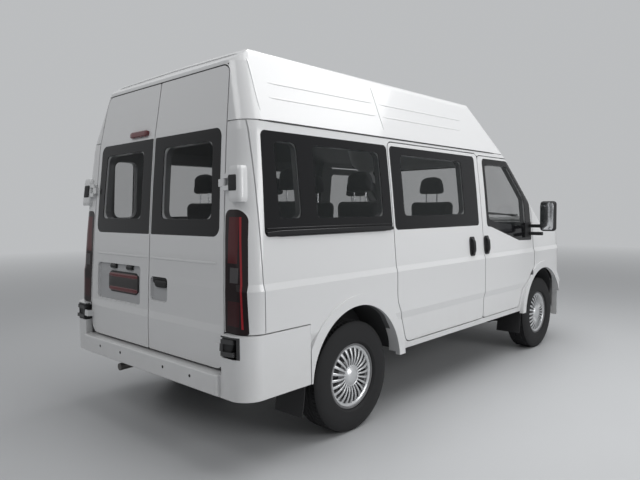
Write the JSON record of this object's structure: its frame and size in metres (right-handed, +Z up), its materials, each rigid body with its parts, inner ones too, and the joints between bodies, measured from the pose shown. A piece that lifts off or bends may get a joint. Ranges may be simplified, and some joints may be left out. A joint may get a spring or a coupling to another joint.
{
  "type": "passenger van",
  "caption": "High-roof passenger van with hinged front doors, barn doors behind, a sliding side door, seats in rows, an opening bonnet and steered front wheels.",
  "frame": {"origin": "on the ground, under the middle of the van's length and width", "axes": "+Z up, -Y towards the front of the van, +X towards its left-hand side"},
  "size_m": [2.45, 4.813, 2.3443],
  "materials": {
    "white_paint": "gloss",
    "window_glass": "clear",
    "underbody": "matte",
    "black_trim": "fine grain",
    "clear_lamp": "clear",
    "smoked_lamp": "gloss",
    "cabin_plastic": "grain",
    "seat_fabric": "woven",
    "engine_block": "rough",
    "chassis_iron": "matte",
    "exhaust_steel": "dull",
    "tyre": "matte",
    "silver_wheel": "satin"
  },
  "bodies": {
    "van_body": {"floor_pan": "underbody", "wheelhouses": "underbody", "side_panels": "white_paint", "sliding_door": "white_paint", "side_glass": "window_glass", "roof_cap": "white_paint", "rear_frame": "white_paint", "cab_frame": "white_paint", "front_wings": "white_paint", "grille": "black_trim", "headlamps": "clear_lamp", "tail_lamps": "smoked_lamp", "front_bumper": "white_paint", "rear_bumper": "white_paint", "windscreen": "window_glass", "dashboard": "cabin_plastic", "front_seats": "seat_fabric", "rear_seats": "seat_fabric", "engine": "engine_block", "rear_axle": "chassis_iron", "front_subframe": "chassis_iron", "exhaust": "exhaust_steel", "fuel_tank": "black_trim"},
    "bonnet": {"bonnet": "white_paint"},
    "steering": {"steering_wheel": "cabin_plastic"},
    "front_door_left": {"front_door_left": "white_paint", "front_door_glass_left": "window_glass", "mirror_left": "black_trim"},
    "rear_door_left": {"rear_door_left": "white_paint", "rear_door_glass_left": "window_glass"},
    "knuckle_left": {"knuckle_left": "chassis_iron"},
    "front_wheel_left": {"front_tyre_left": "tyre", "front_rim_left": "silver_wheel"},
    "rear_wheel_left": {"rear_tyre_left": "tyre", "rear_rim_left": "silver_wheel"},
    "front_door_right": {"front_door_right": "white_paint", "front_door_glass_right": "window_glass", "mirror_right": "black_trim"},
    "rear_door_right": {"rear_door_right": "white_paint", "rear_door_glass_right": "window_glass"},
    "knuckle_right": {"knuckle_right": "chassis_iron"},
    "front_wheel_right": {"front_tyre_right": "tyre", "front_rim_right": "silver_wheel"},
    "rear_wheel_right": {"rear_tyre_right": "tyre", "rear_rim_right": "silver_wheel"}
  },
  "joints": [
    {"name": "front_door_left_hinge", "type": "hinge", "parent": "van_body", "child": "front_door_left", "pos_m": [0.957, -1.1785, 0.98], "axis": [0, 0, -1], "range_deg": [0, 65]},
    {"name": "rear_door_left_hinge", "type": "hinge", "parent": "van_body", "child": "rear_door_left", "pos_m": [0.78189, 2.34974, 1.1], "axis": [0.0641, 0.0808, -0.9947], "range_deg": [0, 180]},
    {"name": "steer_left", "type": "hinge", "parent": "van_body", "child": "knuckle_left", "pos_m": [0.7, -1.4765, 0.352], "axis": [0, 0, 1], "range_deg": [-34, 34]},
    {"name": "front_wheel_left_spin", "type": "hinge", "parent": "knuckle_left", "child": "front_wheel_left", "pos_m": [0.842, -1.4765, 0.352], "axis": [1, 0, 0], "continuous": true},
    {"name": "rear_wheel_left_spin", "type": "hinge", "parent": "van_body", "child": "rear_wheel_left", "pos_m": [0.842, 1.4565, 0.352], "axis": [1, 0, 0], "continuous": true},
    {"name": "front_door_right_hinge", "type": "hinge", "parent": "van_body", "child": "front_door_right", "pos_m": [-0.957, -1.1785, 0.98], "axis": [0, 0, 1], "range_deg": [0, 65]},
    {"name": "rear_door_right_hinge", "type": "hinge", "parent": "van_body", "child": "rear_door_right", "pos_m": [-0.78189, 2.34974, 1.1], "axis": [0.0641, -0.0808, 0.9947], "range_deg": [0, 180]},
    {"name": "steer_right", "type": "hinge", "parent": "van_body", "child": "knuckle_right", "pos_m": [-0.7, -1.4765, 0.352], "axis": [0, 0, 1], "range_deg": [-34, 34]},
    {"name": "front_wheel_right_spin", "type": "hinge", "parent": "knuckle_right", "child": "front_wheel_right", "pos_m": [-0.842, -1.4765, 0.352], "axis": [1, 0, 0], "continuous": true},
    {"name": "rear_wheel_right_spin", "type": "hinge", "parent": "van_body", "child": "rear_wheel_right", "pos_m": [-0.842, 1.4565, 0.352], "axis": [1, 0, 0], "continuous": true},
    {"name": "bonnet_hinge", "type": "hinge", "parent": "van_body", "child": "bonnet", "pos_m": [0, -1.7585, 1.203], "axis": [-1, 0, 0], "range_deg": [0, 60]},
    {"name": "steering_turn", "type": "hinge", "parent": "van_body", "child": "steering", "pos_m": [0.43, -0.9105, 1.135], "axis": [0, 0.7431, 0.6691], "range_deg": [-445, 445]}
  ],
  "couplings": [
    {"joint": "steer_right", "follows": "steer_left", "ratio": 1},
    {"joint": "steering_turn", "follows": "steer_left", "ratio": 13}
  ]
}
